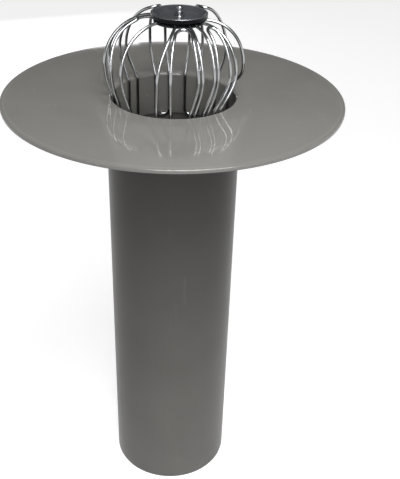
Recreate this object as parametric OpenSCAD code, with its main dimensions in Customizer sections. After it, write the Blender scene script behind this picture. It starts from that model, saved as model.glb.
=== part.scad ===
// Roof outlet: plain pipe, flat flange with a rounded mouth, and a loose wire
// leaf guard standing in the mouth. Origin: centre of the pipe's bottom end.
// +Z runs up the pipe, towards the roof. Azimuths are measured from -Y
// (the front) towards +X.

/* [Pipe] */
// Outside diameter of the pipe
pipe_od = 110; // [90:1:125]
// Wall thickness of the pipe
pipe_wall = 3.2; // [2.4:0.1:4]
// Length of the pipe under the flange
pipe_len = 385; // [120:5:600]
// Chamfer on the outside of the pipe's lower end
pipe_chamfer = 1; // [0.4:0.1:2]

/* [Flange] */
// Diameter of the flange
flange_d = 275; // [220:5:400]
// Thickness of the flange plate
flange_t = 3; // [2:0.5:6]
// Radius on the flange's outer edge
flange_edge_r = 1; // [0.4:0.1:1]
// Radius of the rounded mouth, from the plate down into the bore
mouth_r = 3; // [2:0.5:4]
// Wall thickness of the spigot that enters the pipe
spigot_wall = 1.6; // [1.2:0.1:2.5]
// How far the spigot reaches down into the pipe, below the plate
spigot_depth = 34; // [20:1:60]
// Glue gap between the spigot and the pipe, on the radius
glue_gap = 0.1; // [0.05:0.05:0.3]

/* [Leaf guard] */
// Thickness of the guard wire
wire_d = 2.4; // [1.8:0.1:2.6]
// How far the cage's belly stands out past the bore, to the wire's centre
belly_over = 4.5; // [4:0.5:8]
// Height of the belly above the flange
belly_h = 27; // [20:1:36]
// Height of the wire ends above the flange, under the cap
clamp_h = 60.6; // [50:0.2:90]
// How far the cap stands off the pipe's axis, towards +X
cap_shift = 3.6; // [0:0.2:6]
// Fullness of the cage's shoulder: 2 is an ellipse, more is squarer
shoulder_n = 2; // [2:0.1:2.6]
// Radius from the axis at which the shoulder starts to fall
shoulder_start_r = 20; // [14:1:24]
// Radius at which the bend of a free crown begins
crown_r = 35.5; // [33:0.5:38]
// Radius of the bend with which a wire turns down into the bore
leg_bend_r = 12; // [8:1:16]
// How far the legs reach below the flange's top face, to the wire's centre
leg_depth = 37; // [20:1:60]
// Greatest drop of a foot's bend
foot_bend = 6; // [4:1:8]
// Radius at which the wire ends stop, short of the rivet
wire_end_r = 11.5; // [11:0.5:13]
// Gap between the wires and the mouth and bore that they stand in
seat_gap = 0.3; // [0.1:0.1:0.5]

/* [Cap and rivet] */
// Diameter of the cap
cap_d = 44; // [38:1:52]
// Sheet thickness of the cap
cap_t = 0.8; // [0.6:0.1:1.2]
// Height of the cap's rim above its flat bottom, on the outside
cap_dish = 3; // [2:0.5:5]
// Radius of the flat bottom of the dish
cap_flat_r = 13.5; // [13:0.5:15]
// Gap between the skirt's lower edge and the wires
skirt_gap = 0.4; // [0.2:0.1:1]
// Diameter of the washer under the wires
washer_d = 40; // [34:1:42]
// Thickness of the washer
washer_t = 1; // [0.8:0.1:2]
// Gap between the wires and what clamps them
clamp_gap = 0.03; // [0.02:0.01:0.1]
// Diameter of the rivet's shank
rivet_d = 4.8; // [4:0.2:6]
// Diameter of the rivet's collar, on the cap, and of its tail
rivet_head_d = 8.4; // [8:0.2:10]
// Height of the rivet's collar
rivet_collar_h = 1.2; // [0.8:0.1:2]
// Height of the rivet's formed tail, under the washer
rivet_tail_h = 1.6; // [1.2:0.1:2.4]
// Diameter of the stub that the rivet leaves standing in its collar
stub_d = 5.4; // [5:0.2:6.4]
// Height of the stub above the cap's flat bottom
stub_h = 8.4; // [7:0.2:11]
// Height of the rounding at the stub's top
stub_dome_h = 1.2; // [0.8:0.1:2]
// Depth of the groove round the stub
stub_groove = 0.5; // [0.3:0.1:0.8]
// Gap between the rivet's shank and its holes, on the radius
rivet_gap = 0.05; // [0.02:0.01:0.2]

/* [Hidden] */

// Smoothness of round solids, and sides of a wire
round_fn = 96;
wire_sides = 8;
// Steps of a wire along its level end, its shoulder, its tuck, its turn into
// the bore, and a bend
end_rings = 2;
shoulder_rings = 9;
tuck_rings = 5;
turn_rings = 3;
bend_rings = 8;

flange_z = pipe_len + flange_t;
pipe_r = pipe_od / 2;
pipe_bore_r = pipe_r - pipe_wall;
spigot_r = pipe_bore_r - glue_gap;
bore_r = spigot_r - spigot_wall;
wire_r = wire_d / 2;

// The cage's outline is a belly with a full shoulder above it. Below it, one
// arc runs into the mouth, and a tighter one meets it there and turns down to
// the legs, which hang upright in the bore, clear of it by seat_gap.
belly_r = bore_r + belly_over;
leg_r = bore_r - wire_r - seat_gap;
tuck_turn = 2 * atan((belly_r - leg_r) / (belly_h + mouth_r));
tuck_r = (belly_h + mouth_r) / sin(tuck_turn) - leg_bend_r;
shoulder_w = belly_r - shoulder_start_r;
shoulder_h = clamp_h - belly_h;

// Underside of the cap's flat bottom and of the washer, and the skirt's
// lower edge above the cap's underside.
cap_z = flange_z + clamp_h + wire_r + clamp_gap;
washer_z = flange_z + clamp_h - wire_r - clamp_gap - washer_t;
skirt_z = skirt_gap - clamp_gap;
cap_rim_r = cap_d / 2 - cap_t;
rivet_hole_r = rivet_d / 2 + rivet_gap;
stub_groove_z = (rivet_collar_h + stub_h - stub_dome_h) / 2;
dish_rings = 8;

// Underside of the dish at u: 0 is the edge of its flat bottom, 1 the rim.
function dish_pt(u) = [cap_flat_r + (cap_rim_r - cap_flat_r) * u, cap_dish * u * u * (1.5 - 0.5 * u)];

// Each wire has four strands: from the cap, to a crown, from a crown, to the
// cap. A strand has its azimuth at the top, at the belly and at the leg.
STRANDS = [
    [[-7.5, -13, -15], [-4, -2.5, -2.5], [16, 19.5, 14], [19.5, 23, 18.5]],
    [[33.5, 33.5, 27], [38.5, 37, 31.5], [51, 51, 39], [58, 60, 46.5]],
    [[84, 84, 112], [133, 128, 134], [156.5, 154, 154], [166.5, 166.5, 168.5]],
    [[196, 188, 184.5], [208, 202, 199], [229, 227, 219.5], [243, 235, 231]],
    [[258, 254, 262], [270, 278, 278], [283, 299, 299.5], [309, 313.5, 317]]
];
// How much higher each wire's crown stands than the outline of its cap strands.
CROWN_RISE = [1.2, 2, 4.5, 4.5, 3];

// Height above the flange at radius r on a shoulder raised by rise.
function shoulder_z(r, rise) = belly_h + (shoulder_h + rise)
    * pow(1 - pow((r - shoulder_start_r) / shoulder_w, shoulder_n), 1 / shoulder_n);

// Point [r, z] of that shoulder at t: 0 is where it leaves the level, 1 the belly.
function shoulder_pt(t, rise) = [shoulder_start_r + shoulder_w * pow(sin(90 * t), 2 / shoulder_n),
                                 belly_h + (shoulder_h + rise) * pow(cos(90 * t), 2 / shoulder_n)];
// Shoulder parameter of the point at radius r.
function shoulder_t(r) = asin(pow((r - shoulder_start_r) / shoulder_w, shoulder_n / 2)) / 90;
// Point [r, z] of the arc under the belly, turned a degrees from the upright.
function tuck_pt(a) = [belly_r - tuck_r * (1 - cos(a)), belly_h - tuck_r * sin(a)];
// Point [r, z] of the arc that turns down into the bore, a degrees from the upright.
function turn_pt(a) = [leg_r + leg_bend_r * (1 - cos(a)), leg_bend_r * sin(a) - mouth_r];

function mix(a, b, x) = a + (b - a) * x;
function ease(x) = x * x * (3 - 2 * x);

// How far the cage has moved towards +X at height h above the flange.
function shift_at(h) = cap_shift * pow(max(0, h - belly_h) / shoulder_h, 2);
function place(rz, az) = [rz[0] * sin(az) + shift_at(rz[1]), -rz[0] * cos(az), flange_z + rz[1]];

// Drop of the foot between azimuths a and b, and half the width of a bend.
function half_width(a, b, r) = abs(b - a) / 2 * PI / 180 * r;
function foot_drop(a, b) = min(half_width(a, b, leg_r), foot_bend);

// A point rz of strand s between the belly and the leg, at its azimuth there.
function tuck_place(s, rz) =
    place(rz, mix(s[1], s[2], ease((belly_h - rz[1]) / (belly_h + mouth_r))));

// A strand's points from shoulder parameter t0, past the belly and the mouth,
// to the lower end of its leg, where a foot that drops by drop begins.
function strand(s, t0, drop, rise) = concat(
    [for (i = [0 : shoulder_rings]) let (u = i / shoulder_rings)
        place(shoulder_pt(mix(t0, 1, u), rise), mix(s[0], s[1], ease(u)))],
    [for (i = [1 : tuck_rings]) tuck_place(s, tuck_pt(tuck_turn * i / tuck_rings))],
    [for (i = [1 : turn_rings]) tuck_place(s, turn_pt(tuck_turn * (1 - i / turn_rings)))],
    [place([leg_r, drop - leg_depth], s[2])]);

// A foot joins two legs at their lower ends, against the bore.
function foot(a, b) = [for (i = [1 : bend_rings - 1])
    let (u = 180 * i / bend_rings)
    place([leg_r, foot_drop(a, b) * (1 - sin(u)) - leg_depth], mix(a, b, (1 - cos(u)) / 2))];

// A crown joins two strands at their upper ends, within the shoulder's curve.
function crown(a, b, rise) = [for (i = [1 : bend_rings - 1])
    let (u = 180 * i / bend_rings, r = crown_r - half_width(a, b, crown_r) * sin(u))
    place([r, shoulder_z(r, rise)], mix(a, b, (1 - cos(u)) / 2))];

function reversed(v) = [for (i = [len(v) - 1 : -1 : 0]) v[i]];

// The level end of a cap strand, between the cap and the washer.
function level_end(s) = [for (i = [0 : end_rings - 1])
    place([mix(wire_end_r, shoulder_start_r, i / end_rings), clamp_h], s[0])];

// A cap strand, its foot, and the strand back up to the crown.
function half_wire(s, f, rise) =
    let (drop = foot_drop(s[2], f[2]))
    concat(level_end(s), strand(s, 0, drop, 0), foot(s[2], f[2]),
           reversed(strand(f, shoulder_t(crown_r), drop, rise)));

function wire_path(w, rise) = concat(half_wire(w[0], w[1], rise), crown(w[1][0], w[2][0], rise),
                                     reversed(half_wire(w[3], w[2], rise)));

function unit(v) = v / norm(v);
function tangent(p, i) = unit(p[min(i + 1, len(p) - 1)] - p[max(i - 1, 0)]);

// Ring axes carried along the path without twist.
function side_axes(p, i, prev) = let (t = tangent(p, i)) unit(prev - t * (prev * t));
function carried(p) = [for (i = 0, s = side_axes(p, 0, [0, 0, 1]); i < len(p);
                            i = i + 1, s = i < len(p) ? side_axes(p, i, s) : s) s];

// A round wire swept along the points p.
module swept_wire(p) {
    axes = carried(p);
    n = wire_sides;
    points = [for (i = [0 : len(p) - 1]) let (s = axes[i], c = cross(tangent(p, i), s))
        for (k = [0 : n - 1]) p[i] + wire_r * (cos(360 * k / n) * s + sin(360 * k / n) * c)];
    sides = [for (i = [0 : len(p) - 2]) for (k = [0 : n - 1])
        let (a = i * n + k, b = i * n + (k + 1) % n) each [[a, b + n, b], [a, a + n, b + n]]];
    ends = [[for (k = [0 : n - 1]) k], [for (k = [n - 1 : -1 : 0]) (len(p) - 1) * n + k]];
    polyhedron(points, concat(sides, ends));
}

module guard_wire(i) {
    color("silver") swept_wire(wire_path(STRANDS[i], CROWN_RISE[i]));
}

module outlet_pipe() {
    color("dimgray") rotate_extrude($fn = round_fn)
        polygon([[pipe_bore_r, 0], [pipe_r - pipe_chamfer, 0], [pipe_r, pipe_chamfer],
                 [pipe_r, pipe_len], [pipe_bore_r, pipe_len]]);
}

// What is left outside a rounded corner of radius r at the origin, whose
// solid lies towards +X and -Y.
module corner_waste(r) {
    difference() {
        translate([-r, -r]) square(2 * r);
        translate([r, -r]) circle(r, $fn = round_fn);
        translate([0, -2 * r]) square([2 * r, r]);
        translate([r, -r]) square([r, r]);
    }
}

module roof_flange() {
    color("gray") translate([0, 0, pipe_len]) rotate_extrude($fn = round_fn) difference() {
        union() {
            translate([bore_r, 0]) square([flange_d / 2 - bore_r, flange_t]);
            translate([bore_r, -spigot_depth]) square([spigot_wall, spigot_depth + flange_t]);
        }
        translate([bore_r, flange_t]) corner_waste(mouth_r);
        translate([flange_d / 2, flange_t]) mirror([1, 0]) corner_waste(flange_edge_r);
    }
}

module guard_cap() {
    color("slategray") translate([cap_shift, 0, cap_z]) rotate_extrude($fn = round_fn) {
        polygon(concat(
            [[rivet_hole_r, 0]],
            [for (i = [0 : dish_rings]) dish_pt(i / dish_rings)],
            [for (i = [dish_rings : -1 : 0]) dish_pt(i / dish_rings) + [0, cap_t]],
            [[rivet_hole_r, cap_t]]));
        translate([cap_rim_r, skirt_z]) square([cap_t, cap_dish - skirt_z + cap_t / 2]);
        translate([cap_rim_r, cap_dish + cap_t / 2]) circle(cap_t / 2, $fn = 24);
    }
}

module clamp_washer() {
    color("slategray") translate([cap_shift, 0, washer_z]) difference() {
        cylinder(h = washer_t, d = washer_d, $fn = round_fn);
        translate([0, 0, -washer_t]) cylinder(h = 3 * washer_t, r = rivet_hole_r, $fn = 48);
    }
}

// Half section of a domed head of diameter d and height h, standing on y 0.
module head_section(d, h) {
    r = (h * h + d * d / 4) / (2 * h);
    intersection() {
        translate([0, h - r]) circle(r, $fn = round_fn);
        square([d / 2, h]);
    }
}

// Half section of the stub, standing on y 0: grooved once, rounded at the top.
module stub_section() {
    difference() {
        square([stub_d / 2, stub_h - stub_dome_h]);
        translate([stub_d / 2, stub_groove_z]) circle(stub_groove, $fn = 24);
    }
    translate([0, stub_h - stub_dome_h]) head_section(stub_d, stub_dome_h);
}

module cap_rivet() {
    color("lightsteelblue") translate([cap_shift, 0, 0]) rotate_extrude($fn = 48) {
        translate([0, washer_z]) square([rivet_d / 2, cap_z + cap_t - washer_z]);
        translate([0, cap_z + cap_t]) {
            head_section(rivet_head_d, rivet_collar_h);
            stub_section();
        }
        translate([0, washer_z]) mirror([0, 1]) head_section(rivet_head_d, rivet_tail_h);
    }
}

outlet_pipe();
roof_flange();
guard_wire(0);  // guard_wire_1
guard_wire(1);  // guard_wire_2
guard_wire(2);  // guard_wire_3
guard_wire(3);  // guard_wire_4
guard_wire(4);  // guard_wire_5
guard_cap();
clamp_washer();
cap_rivet();
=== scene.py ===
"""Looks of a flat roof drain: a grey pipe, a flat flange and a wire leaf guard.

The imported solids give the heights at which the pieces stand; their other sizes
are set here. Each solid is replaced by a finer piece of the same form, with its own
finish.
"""

from __future__ import annotations

import logging
import math
from collections.abc import Callable, Iterable, Sequence
from dataclasses import dataclass, replace
from enum import Enum

import bmesh
import bpy
from mathutils import Matrix, Vector


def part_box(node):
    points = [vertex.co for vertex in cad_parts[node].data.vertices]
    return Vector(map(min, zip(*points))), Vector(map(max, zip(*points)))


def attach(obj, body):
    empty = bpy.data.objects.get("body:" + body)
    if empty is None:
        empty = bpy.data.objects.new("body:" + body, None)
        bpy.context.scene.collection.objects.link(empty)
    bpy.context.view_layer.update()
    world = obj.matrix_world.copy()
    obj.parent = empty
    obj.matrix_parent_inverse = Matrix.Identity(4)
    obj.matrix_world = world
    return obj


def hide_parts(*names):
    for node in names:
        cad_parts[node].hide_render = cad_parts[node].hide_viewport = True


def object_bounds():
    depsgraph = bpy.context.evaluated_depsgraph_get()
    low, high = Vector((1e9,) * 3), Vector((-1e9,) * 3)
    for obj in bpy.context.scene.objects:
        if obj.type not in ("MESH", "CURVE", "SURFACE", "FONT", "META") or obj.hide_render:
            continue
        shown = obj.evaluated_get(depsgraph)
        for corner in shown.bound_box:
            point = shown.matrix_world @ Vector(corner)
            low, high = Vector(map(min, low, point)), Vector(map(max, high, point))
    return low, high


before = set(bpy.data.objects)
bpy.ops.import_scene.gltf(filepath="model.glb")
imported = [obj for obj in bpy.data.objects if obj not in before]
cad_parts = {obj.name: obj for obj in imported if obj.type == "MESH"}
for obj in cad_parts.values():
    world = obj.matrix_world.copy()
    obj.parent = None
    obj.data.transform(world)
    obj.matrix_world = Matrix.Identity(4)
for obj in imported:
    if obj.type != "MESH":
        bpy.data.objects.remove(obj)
CAD_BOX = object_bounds()

log = logging.getLogger("roof_drain")

MM = 0.001
WELD = 0.0001 * MM
NEAR = 0.001 * MM
BODY = "root"

Point = tuple[float, float]
Colour = tuple[float, float, float]
BLACK: Colour = (0.0, 0.0, 0.0)
WHITE: Colour = (1.0, 1.0, 1.0)


class Node(Enum):
    """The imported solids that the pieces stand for."""

    PIPE = "outlet_pipe"
    FLANGE = "roof_flange"
    CAP = "guard_cap"
    WASHER = "clamp_washer"
    RIVET = "cap_rivet"


class Slot(Enum):
    """The record's material slots."""

    PIPE = "pipe_pvc"
    FLANGE = "flange_pvc"
    WIRE = "galvanised_wire"
    CAP = "cap_steel"
    RIVET = "rivet_aluminium"


class Grain(Enum):
    """How a grey plastic surface was made, which sets its fine marks."""

    EXTRUDED = "lines along the pipe"
    MOULDED = "scuffs on a moulded plate"


# --------------------------------------------------------------------------
# Shader maths
# --------------------------------------------------------------------------


class Level:
    """A varying number in a shader, on which sums are written as Python."""

    def __init__(self, shade: "Shade", socket: bpy.types.NodeSocket) -> None:
        """Wraps a socket.

        Args:
            shade: The material's node builder.
            socket: The output socket that carries the number.
        """
        self.shade = shade
        self.socket = socket

    def _sum(self, operation: str, *terms: "Term") -> "Level":
        """Adds one Math node.

        Args:
            operation: The node's operation.
            terms: Its inputs, in order.

        Returns:
            The node's result.
        """
        node = self.shade.node("ShaderNodeMath", {"operation": operation}, dict(enumerate(terms)))
        return Level(self.shade, node.outputs[0])

    def __add__(self, other: "Term") -> "Level":
        """Adds."""
        return self._sum("ADD", self, other)

    __radd__ = __add__

    def __sub__(self, other: "Term") -> "Level":
        """Subtracts."""
        return self._sum("SUBTRACT", self, other)

    def __rsub__(self, other: "Term") -> "Level":
        """Subtracts from a number."""
        return self._sum("SUBTRACT", other, self)

    def __mul__(self, other: "Term") -> "Level":
        """Multiplies."""
        return self._sum("MULTIPLY", self, other)

    __rmul__ = __mul__

    def root(self) -> "Level":
        """Takes the square root."""
        return self._sum("SQRT", self)

    def wave(self) -> "Level":
        """Takes the sine."""
        return self._sum("SINE", self)

    def above(self, start: float, end: float) -> "Level":
        """Ramps smoothly from 0 to 1.

        Args:
            start: Up to where the ramp is 0.
            end: From where the ramp is 1.

        Returns:
            The ramp.
        """
        node = self.shade.node("ShaderNodeMapRange", {"interpolation_type": "SMOOTHSTEP"},
                               {"Value": self, "From Min": start, "From Max": end})
        return Level(self.shade, node.outputs[0])


Term = Level | float
Tone = Colour | bpy.types.NodeSocket

# Sockets of a Mix node that mixes colours.
MIX_FACTOR, MIX_LOW, MIX_HIGH, MIX_RESULT = 0, 6, 7, 2


class Shade:
    """Builds one material around a Principled shader."""

    def __init__(self, name: str) -> None:
        """Makes the material with only its shader and output.

        Args:
            name: The material's name.
        """
        self.material = bpy.data.materials.new(name)
        self.material.use_nodes = True
        self.tree = self.material.node_tree
        self.tree.nodes.clear()
        self.shader = self.node("ShaderNodeBsdfPrincipled", {}, {})
        self.node("ShaderNodeOutputMaterial", {}, {"Surface": self.shader.outputs[0]})

    def node(self, kind: str, settings: dict[str, object], inputs: dict) -> bpy.types.Node:
        """Adds any node.

        Args:
            kind: The node's type.
            settings: Its properties, set first.
            inputs: Values, links or Levels by socket name or number.

        Returns:
            The node.
        """
        node = self.tree.nodes.new(kind)
        for key, value in settings.items():
            setattr(node, key, value)
        for key, value in inputs.items():
            self._join(value, node.inputs[key])
        return node

    def _join(self, source: object, target: bpy.types.NodeSocket) -> None:
        """Links a Level or a socket to a target, or sets a plain value there.

        Args:
            source: The Level, socket or value.
            target: The input socket that takes it.
        """
        if isinstance(source, Level):
            source = source.socket
        if isinstance(source, bpy.types.NodeSocket):
            self.tree.links.new(source, target)
        else:
            target.default_value = source

    def place(self, centre: Sequence[float] = (0.0, 0.0, 0.0),
              stretch: Sequence[float] = (1.0, 1.0, 1.0)) -> bpy.types.NodeSocket:
        """Gives the place on the piece.

        Args:
            centre: The point that becomes the origin, in metres.
            stretch: The factor along each axis.

        Returns:
            The socket that carries the place.
        """
        where = self.node("ShaderNodeTexCoord", {}, {}).outputs["Object"]
        offset = tuple(-c * s for c, s in zip(centre, stretch))
        return self.node("ShaderNodeMapping", {},
                         {"Vector": where, "Location": offset, "Scale": stretch}).outputs[0]

    def around(self, axis_x: float = 0.0) -> tuple[Level, Level]:
        """Gives how far the surface is from an upright axis, and its height.

        Args:
            axis_x: Where the axis stands along X.

        Returns:
            The distance from the axis, and the height.
        """
        place = self.place(centre=(axis_x, 0.0, 0.0))
        split = self.node("ShaderNodeSeparateXYZ", {}, {"Vector": place})
        x, y, height = (Level(self, out) for out in split.outputs)
        return (x * x + y * y).root(), height

    def noise(self, place: bpy.types.NodeSocket, scale: float, detail: float,
              warp: float = 0.0) -> Level:
        """Gives smooth noise about 0.5.

        Args:
            place: The place on the piece.
            scale: Patches to the metre.
            detail: How many finer layers are added.
            warp: How much the noise is distorted.

        Returns:
            The noise.
        """
        node = self.node("ShaderNodeTexNoise", {},
                         {"Vector": place, "Scale": scale, "Detail": detail, "Distortion": warp})
        return Level(self, node.outputs[0])

    def blend(self, factor: Term, low: Tone, high: Colour) -> bpy.types.NodeSocket:
        """Mixes two colours, or lays a second one over the first.

        Args:
            factor: 0 for low, 1 for high.
            low: The first colour, linear, or the socket that carries it.
            high: The second colour, linear.

        Returns:
            The socket that carries the colour.
        """
        under = low if isinstance(low, bpy.types.NodeSocket) else (*low, 1.0)
        node = self.node("ShaderNodeMix", {"data_type": "RGBA"},
                         {MIX_FACTOR: factor, MIX_LOW: under, MIX_HIGH: (*high, 1.0)})
        return node.outputs[MIX_RESULT]

    def feed(self, **inputs: object) -> None:
        """Sets the shader's own sockets, with _ for each space in a name."""
        for key, value in inputs.items():
            self._join(value, self.shader.inputs[key.replace("_", " ")])

    def relief(self, height: Level, depth: float, strength: float) -> None:
        """Roughens the surface.

        Args:
            height: The relief, 0 to 1.
            depth: What 1 stands for, in metres.
            strength: How much of it shows.
        """
        bump = self.node("ShaderNodeBump", {},
                         {"Height": height, "Distance": depth, "Strength": strength})
        self.feed(Normal=bump.outputs[0])


# --------------------------------------------------------------------------
# Finishes
# --------------------------------------------------------------------------


@dataclass(frozen=True)
class PlasticFinish:
    """Grey PVC, with cloudy tone, fine marks and a gloss that varies.

    The scales count patches to the metre. The moulded plate has a paler line,
    whose middle runs edge_line inwards from the plate's edge.
    """

    name: str
    dark: Colour
    light: Colour
    roughness: float
    shine: float
    grain: Grain
    scuff: Colour = (0.62, 0.61, 0.58)
    cloud_scale: float = 9.0
    speck_scale: float = 1400.0
    gloss_scale: float = 34.0
    gloss_range: float = 0.05
    relief_depth: float = 0.03 * MM
    relief_strength: float = 0.2
    plate_radius: float = 137.5 * MM
    edge_line: float = 3.2 * MM
    edge_line_width: float = 0.4 * MM
    edge_line_fade: float = 0.8 * MM

    def material(self) -> bpy.types.Material:
        """Builds the finish.

        Returns:
            The material.
        """
        shade = Shade(self.name)
        place = shade.place()
        cloud = shade.noise(place, self.cloud_scale, 5.0, 0.4)
        speck = shade.noise(place, self.speck_scale, 2.0)
        tone = cloud.above(0.3, 0.7) * 0.75 + speck * 0.25
        base = shade.blend(tone, self.dark, self.light)
        if self.grain is Grain.EXTRUDED:
            marks, base = self._extruded(shade, base)
        else:
            marks, base = self._moulded(shade, base)
        gloss = shade.noise(place, self.gloss_scale, 4.0).above(0.2, 0.8) - 0.6
        shade.feed(Base_Color=base, IOR=1.5, Specular_IOR_Level=self.shine,
                   Roughness=gloss * self.gloss_range + marks * 0.1 + self.roughness)
        shade.relief(marks * 0.7 + speck * 0.3, self.relief_depth, self.relief_strength)
        return shade.material

    def _extruded(self, shade: Shade, base: bpy.types.NodeSocket
                  ) -> tuple[Level, bpy.types.NodeSocket]:
        """Draws the fine lines that a die leaves along a pipe.

        Args:
            shade: The material's node builder.
            base: The colour so far.

        Returns:
            The marks, and the colour with them.
        """
        lines = shade.noise(shade.place(stretch=(1.0, 1.0, 0.012)), 520.0, 3.0)
        rub = shade.noise(shade.place(stretch=(1.0, 1.0, 0.25)), 60.0, 4.0, 0.6)
        worn = rub.above(0.63, 0.74) * lines.above(0.45, 0.75)
        return lines * 0.8 + worn * 0.2, shade.blend(worn * 0.06, base, self.scuff)

    def _moulded(self, shade: Shade, base: bpy.types.NodeSocket
                 ) -> tuple[Level, bpy.types.NodeSocket]:
        """Draws light scuffs, and the paler line that follows the plate's edge.

        Args:
            shade: The material's node builder.
            base: The colour so far.

        Returns:
            The marks, and the colour with them.
        """
        place = shade.place()
        scratch = shade.noise(shade.place(stretch=(1.0, 0.06, 1.0)), 300.0, 2.0, 1.5).above(0.66, 0.74)
        patch = shade.noise(place, 26.0, 3.0, 1.0).above(0.6, 0.74)
        dust = shade.noise(place, 420.0, 1.0).above(0.74, 0.79)
        marks = scratch * patch
        base = shade.blend(marks * 0.22 + dust * 0.2, base, self.scuff)
        return marks, shade.blend(self._line(shade) * 0.06, base, self.scuff)

    def _line(self, shade: Shade) -> Level:
        """Draws the line along the plate's edge.

        Args:
            shade: The material's node builder.

        Returns:
            1 on the line, 0 away from it.
        """
        radius, _ = shade.around()
        start = self.plate_radius - self.edge_line - self.edge_line_width / 2
        end = start + self.edge_line_width
        beyond = radius.above(end, end + self.edge_line_fade)
        return radius.above(start - self.edge_line_fade, start) * (1.0 - beyond)


@dataclass(frozen=True)
class CapMarks:
    """Rings that pressing left on the cap, a bare rim of wear and painted highlight, and painted shade
    on the skirt.

    The skirt is painted dark as shade from skirt_start below the cap's top, and the
    rim is pale bare metal, part wear and part painted highlight, down to worn_depth
    below it. Each of them fades over its own short height.
    """

    axis_x: float
    radius: float
    top: float
    ring_pitch: float = 1.1 * MM
    skirt_start: float = 0.4 * MM
    skirt_fade: float = 0.5 * MM
    worn_depth: float = 0.1 * MM
    worn_fade: float = 0.2 * MM
    side_start: float = 0.5 * MM
    side_fade: float = 0.4 * MM
    # Colour of the painted shade on the skirt's outside.
    skirt_shade: Colour = (0.006, 0.006, 0.007)
    # Colour of the rim's top: worn bare metal and a painted highlight.
    worn: Colour = (0.55, 0.57, 0.6)

    def rings(self, shade: Shade) -> Level:
        """Draws the faint rings that pressing leaves around the cap's middle.

        Args:
            shade: The material's node builder.

        Returns:
            The rings, 0 to 1.
        """
        radius, _ = shade.around(self.axis_x)
        return (radius * (2 * math.pi / self.ring_pitch)).wave() * 0.5 + 0.5

    def rim_highlight_and_skirt_shade(self, shade: Shade, base: bpy.types.NodeSocket, metal: float
             ) -> tuple[Level, bpy.types.NodeSocket]:
        """Makes the rim pale bare metal, part wear and part painted highlight, and paints the skirt
        below it dark as shade.

        Args:
            shade: The material's node builder.
            base: The colour so far.
            metal: How metallic the cap's coat is.

        Returns:
            How metallic the surface is, and its colour.
        """
        radius, height = shade.around(self.axis_x)
        side = self.radius - self.side_start
        low = self.top - self.skirt_start
        high = self.top - self.worn_depth
        outside = radius.above(side, side + self.side_fade)
        above_skirt = height.above(low - self.skirt_fade, low)
        bare = height.above(high - self.worn_fade, high)
        # Painted shade: the outside of the skirt, below the rim, turns near black.
        base = shade.blend(outside * (1.0 - above_skirt), base, self.skirt_shade)
        # Painted highlight, part worn bare metal: the rim's top turns pale and metallic.
        return bare * (1.0 - metal) + metal, shade.blend(bare, base, self.worn)


@dataclass(frozen=True)
class MetalFinish:
    """Bare, zinc-coated or dark-coated metal, with patches of tone and gloss."""

    name: str
    dark: Colour
    light: Colour
    smooth: float
    rough: float
    patch_scale: float
    metal: float = 1.0
    # Painted shade in the reflection: a dark tint that darkens the grazing reflection at the metal's
    # edges.
    edge_tint: Colour = (0.14, 0.145, 0.155)
    relief_depth: float = 0.01 * MM
    relief_strength: float = 0.06
    marks: CapMarks | None = None

    def material(self) -> bpy.types.Material:
        """Builds the finish.

        Returns:
            The material.
        """
        shade = Shade(self.name)
        place = shade.place()
        patch = shade.noise(place, self.patch_scale, 4.0, 0.3)
        grain = shade.noise(place, self.patch_scale * 9.0, 2.0)
        tone = patch.above(0.3, 0.7) * 0.7 + grain * 0.3
        base = shade.blend(tone, self.dark, self.light)
        relief = grain
        metal: Term = self.metal
        # On the cap: pressed rings, painted shade on the skirt, and a pale rim of wear and painted
        # highlight.
        if self.marks:
            relief = grain * 0.5 + self.marks.rings(shade) * 0.5
            metal, base = self.marks.rim_highlight_and_skirt_shade(shade, base, self.metal)
        shade.feed(Base_Color=base, Metallic=metal, Specular_Tint=(*self.edge_tint, 1.0),
                   Roughness=tone * (self.rough - self.smooth) + self.smooth)
        shade.relief(relief, self.relief_depth, self.relief_strength)
        return shade.material


PIPE_FINISH = PlasticFinish("pipe_grey", dark=(0.096, 0.093, 0.088), light=(0.118, 0.114, 0.108),
                            roughness=0.3, shine=0.14, grain=Grain.EXTRUDED)
FLANGE_FINISH = PlasticFinish("flange_grey", dark=(0.186, 0.182, 0.170), light=(0.218, 0.214, 0.200),
                              roughness=0.085, shine=0.7, grain=Grain.MOULDED)
WIRE_FINISH = MetalFinish("zinc_wire", dark=(0.50, 0.51, 0.52), light=(0.62, 0.63, 0.64),
                          smooth=0.16, rough=0.22, patch_scale=60.0)
CAP_FINISH = MetalFinish("cap_dark", dark=(0.036, 0.039, 0.043), light=(0.056, 0.060, 0.066),
                         smooth=0.22, rough=0.32, patch_scale=90.0, metal=0.0)
RIVET_FINISH = MetalFinish("rivet_bright", dark=(0.70, 0.71, 0.73), light=(0.86, 0.87, 0.88),
                           smooth=0.14, rough=0.3, patch_scale=300.0)


# --------------------------------------------------------------------------
# Making meshes
# --------------------------------------------------------------------------


def lathe(profile: Sequence[Point], steps: int, axis_x: float = 0.0) -> bmesh.types.BMesh:
    """Spins a closed profile about an upright axis.

    Args:
        profile: Radius and height of each corner, in order, in metres.
        steps: Steps in the full turn.
        axis_x: Where the axis stands along X.

    Returns:
        The closed mesh, with its faces outwards.
    """
    bm = bmesh.new()
    corners = [bm.verts.new((axis_x + r, 0.0, z)) for r, z in profile]
    for a, b in zip(corners, corners[1:] + corners[:1]):
        if max(abs(a.co.x - axis_x), abs(b.co.x - axis_x)) > WELD:
            bm.edges.new((a, b))
    bmesh.ops.spin(bm, geom=bm.verts[:] + bm.edges[:], cent=(axis_x, 0.0, 0.0), axis=(0.0, 0.0, 1.0),
                   angle=2 * math.pi, steps=steps, use_merge=True, use_duplicate=False)
    bmesh.ops.remove_doubles(bm, verts=bm.verts[:], dist=WELD)
    bmesh.ops.recalc_face_normals(bm, faces=bm.faces[:])
    return bm


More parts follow.
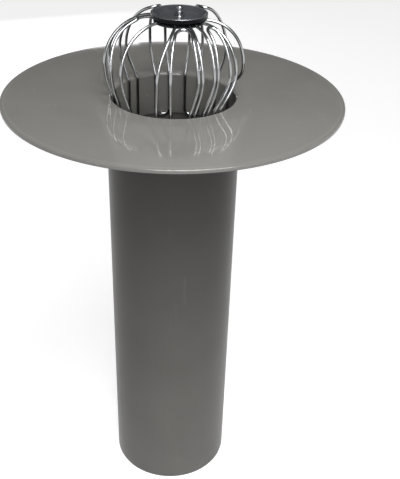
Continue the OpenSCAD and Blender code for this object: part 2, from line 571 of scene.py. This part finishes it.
def round_ring(bm: bmesh.types.BMesh, radius: float, height: float, width: float, segments: int,
               axis_x: float = 0.0) -> None:
    """Bevels the ring of edges at one radius and height.

    Args:
        bm: The mesh.
        radius: The ring's radius.
        height: The ring's height.
        width: How far the bevel reaches on each side.
        segments: Faces across the bevel.
        axis_x: Where the ring's axis stands along X.
    """
    def on_ring(vert: bmesh.types.BMVert) -> bool:
        """Tells whether a corner is on the ring."""
        reach = math.hypot(vert.co.x - axis_x, vert.co.y)
        return abs(reach - radius) < NEAR and abs(vert.co.z - height) < NEAR

    edges = [e for e in bm.edges if all(on_ring(v) for v in e.verts)]
    bmesh.ops.bevel(bm, geom=edges, offset=width, offset_type="OFFSET", segments=segments,
                    profile=0.5, affect="EDGES", material=-1, clamp_overlap=False)


def sweep(path: Sequence[Vector], radius: float, sides: int) -> bmesh.types.BMesh:
    """Draws a round wire along a path.

    Args:
        path: The wire's centre, from end to end.
        radius: The wire's radius.
        sides: Faces around it.

    Returns:
        The closed mesh, with its faces outwards.
    """
    bm = bmesh.new()
    ahead = [(b - a).normalized() for a, b in zip(path, path[1:])]
    heading = [ahead[0]] + [(a + b).normalized() for a, b in zip(ahead, ahead[1:])] + [ahead[-1]]
    turn = Vector((0.0, 0.0, 1.0)).rotation_difference(heading[0]).to_matrix().to_4x4()
    bmesh.ops.create_circle(bm, cap_ends=False, segments=sides, radius=radius,
                            matrix=Matrix.Translation(path[0]) @ turn)
    ring = bm.edges[:]
    bmesh.ops.contextual_create(bm, geom=ring)
    for here, there, old, new in zip(path, path[1:], heading, heading[1:]):
        grown = bmesh.ops.extrude_edge_only(bm, edges=ring)["geom"]
        ring = [g for g in grown if isinstance(g, bmesh.types.BMEdge)]
        moved = [g for g in grown if isinstance(g, bmesh.types.BMVert)]
        bend = old.rotation_difference(new).to_matrix().to_4x4()
        bmesh.ops.transform(bm, verts=moved, matrix=Matrix.Translation(there) @ bend
                            @ Matrix.Translation(-here))
    bmesh.ops.contextual_create(bm, geom=ring)
    bmesh.ops.recalc_face_normals(bm, faces=bm.faces[:])
    return bm


def finish_piece(bm: bmesh.types.BMesh, name: str, finish: bpy.types.Material,
                 stands_for: Iterable[str], crease: float = 40.0) -> bpy.types.Object:
    """Turns a mesh into a piece of the object.

    Args:
        bm: The mesh, in place. It is freed.
        name: The piece's name.
        finish: Its material.
        stands_for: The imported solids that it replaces.
        crease: Angle in degrees past which an edge stays sharp.

    Returns:
        The piece.
    """
    for face in bm.faces:
        face.smooth = True
    for edge in bm.edges:
        edge.smooth = len(edge.link_faces) == 2 and edge.calc_face_angle() < math.radians(crease)
    mesh = bpy.data.meshes.new(name)
    bm.to_mesh(mesh)
    bm.free()
    mesh.materials.append(finish)
    piece = bpy.data.objects.new(name, mesh)
    bpy.context.scene.collection.objects.link(piece)
    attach(piece, BODY)
    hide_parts(*stands_for)
    log.info("%s: %d faces", name, len(mesh.polygons))
    return piece


# --------------------------------------------------------------------------
# Sub-assemblies
# --------------------------------------------------------------------------


@dataclass
class OutletPipe:
    """The plain length of pipe under the flange."""

    radius: float = 55.0 * MM
    wall: float = 3.2 * MM
    chamfer: float = 1.0 * MM
    inner_edge: float = 0.3 * MM
    steps: int = 192

    def build(self) -> bpy.types.Object:
        """Makes the pipe, chamfered outside at its lower end.

        Returns:
            The piece.
        """
        low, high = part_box(Node.PIPE.value)
        foot, top = low[2], high[2]
        inner = self.radius - self.wall
        bm = lathe([(inner, foot), (self.radius, foot), (self.radius, top), (inner, top)], self.steps)
        round_ring(bm, self.radius, foot, self.chamfer, segments=1)
        round_ring(bm, inner, foot, self.inner_edge, segments=2)
        return finish_piece(bm, "pipe", PIPE_FINISH.material(), [Node.PIPE.value])


@dataclass
class RoofFlange:
    """The flat plate with its rounded mouth and the spigot in the pipe."""

    radius: float = 137.5 * MM
    thickness: float = 3.0 * MM
    bore: float = 50.1 * MM
    spigot_wall: float = 1.6 * MM
    mouth: float = 3.0 * MM
    edge: float = 1.0 * MM
    lower_edge: float = 0.3 * MM
    steps: int = 256

    def build(self) -> bpy.types.Object:
        """Makes the flange.

        Returns:
            The piece.
        """
        low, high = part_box(Node.FLANGE.value)
        top, lip = high[2], low[2]
        under = top - self.thickness
        neck = self.bore + self.spigot_wall
        bm = lathe([(self.bore, lip), (neck, lip), (neck, under), (self.radius, under),
                    (self.radius, top), (self.bore, top)], self.steps)
        round_ring(bm, self.bore, top, self.mouth, segments=10)
        round_ring(bm, self.radius, top, self.edge, segments=4)
        round_ring(bm, self.radius, under, self.lower_edge, segments=2)
        round_ring(bm, self.bore, lip, self.lower_edge, segments=2)
        return finish_piece(bm, "flange", FLANGE_FINISH.material(),
                            [Node.FLANGE.value])


@dataclass(frozen=True)
class Strand:
    """One run of wire, by its azimuth at the top, the belly and the leg."""

    top: float
    belly: float
    leg: float


@dataclass(frozen=True)
class GuardWire:
    """One bent wire: cap strand, free strand, free strand, cap strand."""

    strands: tuple[Strand, Strand, Strand, Strand]
    crown_rise: float


WIRES = (
    GuardWire((Strand(-7.5, -13, -15), Strand(-4, -2.5, -2.5),
               Strand(16, 19.5, 14), Strand(19.5, 23, 18.5)), 1.2 * MM),
    GuardWire((Strand(33.5, 33.5, 27), Strand(38.5, 37, 31.5),
               Strand(51, 51, 39), Strand(58, 60, 46.5)), 2.0 * MM),
    GuardWire((Strand(84, 84, 112), Strand(133, 128, 134),
               Strand(156.5, 154, 154), Strand(166.5, 166.5, 168.5)), 4.5 * MM),
    GuardWire((Strand(196, 188, 184.5), Strand(208, 202, 199),
               Strand(229, 227, 219.5), Strand(243, 235, 231)), 4.5 * MM),
    GuardWire((Strand(258, 254, 262), Strand(270, 278, 278),
               Strand(283, 299, 299.5), Strand(309, 313.5, 317)), 3.0 * MM),
)


@dataclass
class LeafGuard:
    """The cage of bent wires that stands in the mouth, with its legs in the bore."""

    flange: RoofFlange
    wires: tuple[GuardWire, ...] = WIRES
    wire_radius: float = 1.2 * MM
    belly_over: float = 4.5 * MM
    belly_height: float = 27.0 * MM
    clamp_height: float = 60.6 * MM
    cap_shift: float = 3.6 * MM
    shoulder_start: float = 20.0 * MM
    crown_start: float = 35.5 * MM
    turn_radius: float = 12.0 * MM
    leg_depth: float = 37.0 * MM
    foot_bend: float = 6.0 * MM
    wire_end: float = 11.5 * MM
    seat_gap: float = 0.3 * MM
    sides: int = 16
    level_steps: int = 4
    shoulder_steps: int = 28
    tuck_steps: int = 14
    turn_steps: int = 8
    leg_steps: int = 4
    bend_steps: int = 20

    def __post_init__(self) -> None:
        """Works out the outline from the sizes."""
        self.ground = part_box(Node.FLANGE.value)[1][2]
        self.belly = self.flange.bore + self.belly_over
        self.reach = self.belly - self.shoulder_start
        self.rise = self.clamp_height - self.belly_height
        self.leg_radius = self.flange.bore - self.wire_radius - self.seat_gap
        self.fall = self.belly_height + self.flange.mouth
        self.lean = 2 * math.atan((self.belly - self.leg_radius) / self.fall)
        self.tuck = self.fall / math.sin(self.lean) - self.turn_radius

    def build(self) -> list[bpy.types.Object]:
        """Makes the five wires.

        Returns:
            The pieces.
        """
        zinc = WIRE_FINISH.material()
        pieces = []
        for number, wire in enumerate(self.wires, start=1):
            bm = sweep(self._path(wire), self.wire_radius, self.sides)
            pieces.append(finish_piece(bm, f"wire_{number}", zinc,
                                       [f"guard_wire_{number}"], crease=60.0))
        return pieces

    def _put(self, radius: float, height: float, azimuth: float) -> Vector:
        """Places a point of the cage.

        Args:
            radius: From the axis.
            height: Above the flange.
            azimuth: In degrees, from the front towards +X.

        Returns:
            The point.
        """
        angle = math.radians(azimuth)
        lean = self.cap_shift * (max(0.0, height - self.belly_height) / self.rise) ** 2
        return Vector((radius * math.sin(angle) + lean, -radius * math.cos(angle),
                       self.ground + height))

    def _shoulder(self, turn: float, rise: float) -> Point:
        """Gives radius and height on the shoulder, at a turn of 0 to 90 degrees."""
        angle = math.radians(turn)
        return (self.shoulder_start + self.reach * math.sin(angle),
                self.belly_height + (self.rise + rise) * math.cos(angle))

    def _tuck(self, turn: float) -> Point:
        """Gives radius and height on the arc below the belly, in radians."""
        return (self.belly - self.tuck * (1 - math.cos(turn)),
                self.belly_height - self.tuck * math.sin(turn))

    def _turn(self, turn: float) -> Point:
        """Gives radius and height on the arc that turns down into the bore, in radians."""
        return (self.leg_radius + self.turn_radius * (1 - math.cos(turn)),
                self.turn_radius * math.sin(turn) - self.flange.mouth)

    @staticmethod
    def _ease(u: float) -> float:
        """Eases from 0 to 1."""
        return u * u * (3 - 2 * u)

    def _run(self, strand: Strand, start: float, drop: float, rise: float) -> list[Vector]:
        """Follows a strand from the shoulder to the lower end of its leg.

        Args:
            strand: The strand.
            start: Turn on the shoulder at which it starts, in degrees.
            drop: How far the foot's bend reaches below the leg's end.
            rise: How much higher its shoulder stands.

        Returns:
            The points, downwards.
        """
        points = []
        for step in range(self.shoulder_steps + 1):
            u = step / self.shoulder_steps
            azimuth = strand.top + (strand.belly - strand.top) * self._ease(u)
            points.append(self._put(*self._shoulder(start + (90 - start) * u, rise), azimuth))
        below = [self._tuck(self.lean * k / self.tuck_steps) for k in range(1, self.tuck_steps + 1)]
        below += [self._turn(self.lean * (1 - k / self.turn_steps))
                  for k in range(1, self.turn_steps + 1)]
        for radius, height in below:
            share = self._ease((self.belly_height - height) / self.fall)
            azimuth = strand.belly + (strand.leg - strand.belly) * share
            points.append(self._put(radius, height, azimuth))
        length = self.leg_depth - drop - self.flange.mouth
        points += [self._put(self.leg_radius, -self.flange.mouth - length * k / self.leg_steps,
                             strand.leg) for k in range(1, self.leg_steps + 1)]
        return points

    def _bend(self, a: float, b: float, put: Callable[[float], Point]) -> list[Vector]:
        """Joins two strands by a round bend.

        Args:
            a: Azimuth of the first strand.
            b: Azimuth of the second strand.
            put: Radius and height for the bend's fullness, 0 to 1.

        Returns:
            The points between the strands.
        """
        points = []
        for step in range(1, self.bend_steps):
            turn = math.pi * step / self.bend_steps
            azimuth = a + (b - a) * (1 - math.cos(turn)) / 2
            points.append(self._put(*put(math.sin(turn)), azimuth))
        return points

    def _half(self, held: Strand, free: Strand, rise: float) -> list[Vector]:
        """Follows a wire from its end under the cap, round a foot, to a crown.

        Args:
            held: The strand that the cap holds.
            free: The strand that runs up to the crown.
            rise: How much higher the free strand's shoulder stands.

        Returns:
            The points.
        """
        half_gap = math.radians(abs(free.leg - held.leg)) / 2 * self.leg_radius
        drop = min(half_gap, self.foot_bend)
        inward = self.shoulder_start - self.wire_end
        level = [self._put(self.wire_end + inward * k / self.level_steps, self.clamp_height, held.top)
                 for k in range(self.level_steps)]
        foot = self._bend(held.leg, free.leg, lambda full: (
            self.leg_radius, drop * (1 - full) - self.leg_depth))
        crown_turn = math.degrees(math.asin((self.crown_start - self.shoulder_start) / self.reach))
        return (level + self._run(held, 0.0, drop, 0.0) + foot
                + self._run(free, crown_turn, drop, rise)[::-1])

    def _path(self, wire: GuardWire) -> list[Vector]:
        """Follows a whole wire.

        Args:
            wire: The wire.

        Returns:
            Its centre, from end to end.
        """
        held_a, free_a, free_b, held_b = wire.strands
        rise = wire.crown_rise
        half_gap = math.radians(abs(free_b.top - free_a.top)) / 2 * self.crown_start

        def crown(full: float) -> Point:
            """Gives a place on the crown.

            Args:
                full: The bend's fullness, 0 to 1.

            Returns:
                Its radius and height.
            """
            radius = self.crown_start - half_gap * full
            turn = math.asin((radius - self.shoulder_start) / self.reach)
            return radius, self.belly_height + (self.rise + rise) * math.cos(turn)

        return (self._half(held_a, free_a, rise) + self._bend(free_a.top, free_b.top, crown)
                + self._half(held_b, free_b, rise)[::-1])


@dataclass
class CapSet:
    """The dished cap, the washer under it and the rivet through both."""

    guard: LeafGuard
    cap_radius: float = 22.0 * MM
    sheet: float = 0.8 * MM
    rim_round: float = 0.384 * MM
    dish: float = 3.0 * MM
    flat_radius: float = 13.5 * MM
    skirt_gap: float = 0.4 * MM
    washer_radius: float = 20.0 * MM
    washer_thickness: float = 1.0 * MM
    washer_edge: float = 0.2 * MM
    clamp_gap: float = 0.03 * MM
    rivet_radius: float = 2.4 * MM
    rivet_gap: float = 0.05 * MM
    head_radius: float = 4.2 * MM
    collar_height: float = 1.2 * MM
    tail_height: float = 1.6 * MM
    stub_radius: float = 2.7 * MM
    stub_height: float = 8.4 * MM
    stub_dome: float = 1.2 * MM
    stub_groove: float = 0.5 * MM
    steps: int = 128
    dish_steps: int = 10
    rivet_steps: int = 64
    collar_steps: int = 24
    dome_steps: int = 8
    groove_steps: int = 8

    def __post_init__(self) -> None:
        """Works out the heights from the guard's clamp."""
        centre = self.guard.ground + self.guard.clamp_height
        self.axis_x = self.guard.cap_shift
        self.cap_under = centre + self.guard.wire_radius + self.clamp_gap
        self.cap_top = self.cap_under + self.dish + self.sheet
        self.washer_top = centre - self.guard.wire_radius - self.clamp_gap

    def build(self) -> list[bpy.types.Object]:
        """Makes the three pieces.

        Returns:
            The pieces.
        """
        # The cap's marks paint shade on its skirt and a highlight on its rim.
        marks = CapMarks(self.axis_x, self.cap_radius, self.cap_top)
        steel = replace(CAP_FINISH, marks=marks).material()
        return [
            finish_piece(self._cap(), "cap", steel, [Node.CAP.value]),
            finish_piece(self._washer(), "washer", steel, [Node.WASHER.value]),
            finish_piece(self._rivet(), "rivet", RIVET_FINISH.material(),
                         [Node.RIVET.value]),
        ]

    def _cap(self) -> bmesh.types.BMesh:
        """Makes the dished cap with its turned-down skirt.

        Returns:
            The mesh.
        """
        inner = self.cap_radius - self.sheet
        hole = self.rivet_radius + self.rivet_gap
        dish = []
        for step in range(self.dish_steps):
            # The dish leaves its flat bottom softly and rises to the rim.
            u = step / self.dish_steps
            dish.append((self.flat_radius + (inner - self.flat_radius) * u,
                         self.cap_under + self.dish * u * u * (1.5 - 0.5 * u)))
        hem = self.cap_under + self.skirt_gap - self.clamp_gap
        over = [(r, z + self.sheet) for r, z in dish]
        profile = [(hole, self.cap_under), *dish, (inner, dish[-1][1]), (inner, hem),
                   (self.cap_radius, hem), (self.cap_radius, self.cap_top), (inner, self.cap_top),
                   *over[::-1], (hole, self.cap_under + self.sheet)]
        bm = lathe(profile, self.steps, self.axis_x)
        round_ring(bm, self.cap_radius, self.cap_top, self.rim_round, segments=4, axis_x=self.axis_x)
        return bm

    def _washer(self) -> bmesh.types.BMesh:
        """Makes the plain washer with its edges eased.

        Returns:
            The mesh.
        """
        hole = self.rivet_radius + self.rivet_gap
        under = self.washer_top - self.washer_thickness
        bm = lathe([(hole, under), (self.washer_radius, under), (self.washer_radius, self.washer_top),
                    (hole, self.washer_top)], self.steps, self.axis_x)
        for height in (under, self.washer_top):
            round_ring(bm, self.washer_radius, height, self.washer_edge, segments=2, axis_x=self.axis_x)
        return bm

    @staticmethod
    def _dome(radius: float, base: float, height: float, steps: int) -> list[Point]:
        """Gives a head's outline, a shallow cap of a sphere, from its edge to its top.

        Args:
            radius: The head's radius at its foot.
            base: Height at which the head stands.
            height: How far it rises, below 0 for downwards.
            steps: Faces from edge to axis.

        Returns:
            Radius and height of each corner.
        """
        rise = abs(height)
        ball = (rise * rise + radius * radius) / (2 * rise)
        spread = math.asin(radius / ball)
        turns = [spread * (1 - k / steps) for k in range(steps + 1)]
        return [(ball * math.sin(a), base + math.copysign(ball * math.cos(a) - ball + rise, height))
                for a in turns]

    def _stub(self, seat: float) -> list[Point]:
        """Gives the outline of the grooved stub, from its collar to its top.

        Args:
            seat: Height of the cap's flat bottom, on its upper side.

        Returns:
            Radius and height of each corner.
        """
        shoulder = seat + self.stub_height - self.stub_dome
        middle = (seat + self.collar_height + shoulder) / 2
        turns = [math.pi * (k / self.groove_steps - 0.5) for k in range(self.groove_steps + 1)]
        groove = [(self.stub_radius - self.stub_groove * math.cos(a),
                   middle + self.stub_groove * math.sin(a)) for a in turns]
        return groove + self._dome(self.stub_radius, shoulder, self.stub_dome, self.dome_steps)

    def _rivet(self) -> bmesh.types.BMesh:
        """Makes the rivet with its formed tail, its collar and the stub above it.

        Returns:
            The mesh.
        """
        seat = self.cap_under + self.sheet
        under = self.washer_top - self.washer_thickness
        tail = self._dome(self.head_radius, under, -self.tail_height, self.dome_steps)
        dome = self._dome(self.head_radius, seat, self.collar_height, self.collar_steps)
        collar = [(r, z) for r, z in dome if r > self.stub_radius]
        joint = (self.stub_radius, collar[-1][1])
        profile = [*tail[::-1], (self.rivet_radius, under), (self.rivet_radius, seat), *collar, joint,
                   *self._stub(seat)]
        return lathe(profile, self.rivet_steps, self.axis_x)


# --------------------------------------------------------------------------
# Studio
# --------------------------------------------------------------------------


@dataclass(frozen=True)
class Lamp:
    """A soft area lamp that looks at a point on the drain's axis.

    Its azimuth runs from the front towards +X, as the wires' azimuths do. All
    its angles are in degrees. At a level of 1 a matt surface that faces the lamp
    shows about its own colour.
    """

    name: str
    azimuth: float
    elevation: float
    distance: float
    width: float
    height: float
    level: float
    aim_height: float = 0.36
    spread: float = 180.0


@dataclass
class Studio:
    """The white floor with its wall, the lamps, the world and the camera.

    The angles are in degrees, and the lens and the sensor in millimetres.
    """

    floor_radius: float = 9.0
    floor_steps: int = 96
    floor_drop: float = 0.05 * MM
    wall_height: float = 1.5
    floor_white: float = 0.46
    floor_glow: float = 0.78
    sky: float = 0.08
    lamps: tuple[Lamp, ...] = (
        Lamp("lamp_key", azimuth=28.0, elevation=68.0, distance=1.6, width=0.8, height=0.8, level=0.62),
        Lamp("lamp_near", azimuth=12.0, elevation=51.0, distance=0.65, width=0.46, height=0.34,
             level=0.54),
        Lamp("lamp_front", azimuth=2.0, elevation=26.0, distance=1.5, width=0.7, height=0.7, level=0.33),
        Lamp("lamp_low", azimuth=4.0, elevation=30.0, distance=0.75, width=0.4, height=0.2, level=0.048,
             aim_height=-0.03, spread=42.0),
        Lamp("lamp_back", azimuth=180.0, elevation=33.0, distance=2.0, width=0.5, height=0.7,
             level=0.007),
        Lamp("lamp_fill", azimuth=200.0, elevation=5.0, distance=1.6, width=0.9, height=0.5, level=0.12,
             aim_height=0.2),
    )
    camera_distance: float = 0.5867
    camera_height: float = 0.2255
    pitch: float = 31.79
    yaw: float = 2.44
    roll: float = 1.85
    lens: float = 57.4
    sensor: float = 36.0
    nearest: float = 0.01

    def build(self) -> None:
        """Makes the whole studio."""
        self._floor()
        self._sky()
        for lamp in self.lamps:
            self._lamp(lamp)
        self._camera()
        bpy.context.scene.view_settings.view_transform = "Standard"

    @staticmethod
    def _seen(shade: Shade) -> Level:
        """Tells what the camera sees from what only lights the object.

        Args:
            shade: The material's node builder.

        Returns:
            1 for what is seen straight on, in metal or through glass, otherwise 0.
        """
        path = shade.node("ShaderNodeLightPath", {}, {})
        camera, glossy, glass = (Level(shade, path.outputs[f"Is {kind} Ray"])
                                 for kind in ("Camera", "Glossy", "Transmission"))
        return camera + glossy + glass

    def _paper(self) -> bpy.types.Material:
        """Makes the floor's white paper, which takes a shadow.

        Returns:
            The material.
        """
        shade = Shade("studio_paper")
        white = (self.floor_white,) * 3
        glow = (self.floor_glow,) * 3
        shade.feed(Base_Color=(*white, 1.0), Roughness=1.0, Specular_IOR_Level=0.0,
                   Emission_Color=shade.blend(self._seen(shade), BLACK, glow), Emission_Strength=1.0)
        return shade.material

    def _floor(self) -> None:
        """Makes the floor, with a low wall around its edge."""
        bm = bmesh.new()
        level = Matrix.Translation((0.0, 0.0, CAD_BOX[0][2] - self.floor_drop))
        bmesh.ops.create_circle(bm, cap_ends=True, segments=self.floor_steps, radius=self.floor_radius,
                                matrix=level)
        rim = bmesh.ops.extrude_edge_only(bm, edges=bm.edges[:])["geom"]
        raised = [g for g in rim if isinstance(g, bmesh.types.BMVert)]
        bmesh.ops.translate(bm, verts=raised, vec=(0.0, 0.0, self.wall_height))
        mesh = bpy.data.meshes.new("floor")
        bm.to_mesh(mesh)
        bm.free()
        mesh.materials.append(self._paper())
        floor = bpy.data.objects.new("floor", mesh)
        bpy.context.scene.collection.objects.link(floor)

    def _sky(self) -> None:
        """Makes the world, a plain soft grey."""
        world = bpy.data.worlds.new("studio_sky")
        world.use_nodes = True
        background = world.node_tree.nodes["Background"]
        background.inputs["Strength"].default_value = self.sky
        background.inputs["Color"].default_value = (*WHITE, 1.0)
        bpy.context.scene.world = world

    def _lamp(self, lamp: Lamp) -> None:
        """Places a lamp on its azimuth and elevation about a point on the drain's axis.

        Args:
            lamp: The lamp.
        """
        data = bpy.data.lights.new(lamp.name, "AREA")
        data.shape = "RECTANGLE"
        data.size, data.size_y = lamp.width, lamp.height
        data.spread = math.radians(lamp.spread)
        data.energy = lamp.level * (math.pi * lamp.distance) ** 2
        az, el = math.radians(lamp.azimuth), math.radians(lamp.elevation)
        away = Vector((math.sin(az) * math.cos(el), -math.cos(az) * math.cos(el), math.sin(el)))
        piece = bpy.data.objects.new(lamp.name, data)
        piece.location = Vector((0.0, 0.0, lamp.aim_height)) + away * lamp.distance
        piece.rotation_euler = away.to_track_quat("Z", "Y").to_euler()
        piece.visible_camera = False
        bpy.context.scene.collection.objects.link(piece)

    def _camera(self) -> None:
        """Places the camera above the front of the flange, looking down."""
        pitch, yaw, roll = (math.radians(a) for a in (self.pitch, self.yaw, self.roll))
        forward = Vector((math.sin(yaw) * math.cos(pitch), math.cos(yaw) * math.cos(pitch),
                          -math.sin(pitch)))
        right = Vector((math.cos(yaw), -math.sin(yaw), 0.0))
        up = right.cross(forward)
        tilted_right = right * math.cos(roll) + up * math.sin(roll)
        tilted_up = up * math.cos(roll) - right * math.sin(roll)
        turn = Matrix((tilted_right, tilted_up, -forward)).transposed()
        data = bpy.data.cameras.new("camera")
        data.lens = self.lens
        data.sensor_width = self.sensor
        data.sensor_fit = "AUTO"
        data.clip_start = self.nearest
        camera = bpy.data.objects.new("camera", data)
        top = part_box(Node.FLANGE.value)[1][2]
        camera.location = (0.0, -self.camera_distance, top + self.camera_height)
        camera.rotation_euler = turn.to_euler()
        bpy.context.scene.collection.objects.link(camera)
        bpy.context.scene.camera = camera


def main() -> None:
    """Builds the drain and its studio."""
    logging.basicConfig(level=logging.INFO, format="%(name)s: %(message)s")
    flange = RoofFlange()
    guard = LeafGuard(flange)
    OutletPipe().build()
    flange.build()
    guard.build()
    CapSet(guard).build()
    Studio().build()


if __name__ == "__main__":
    main()
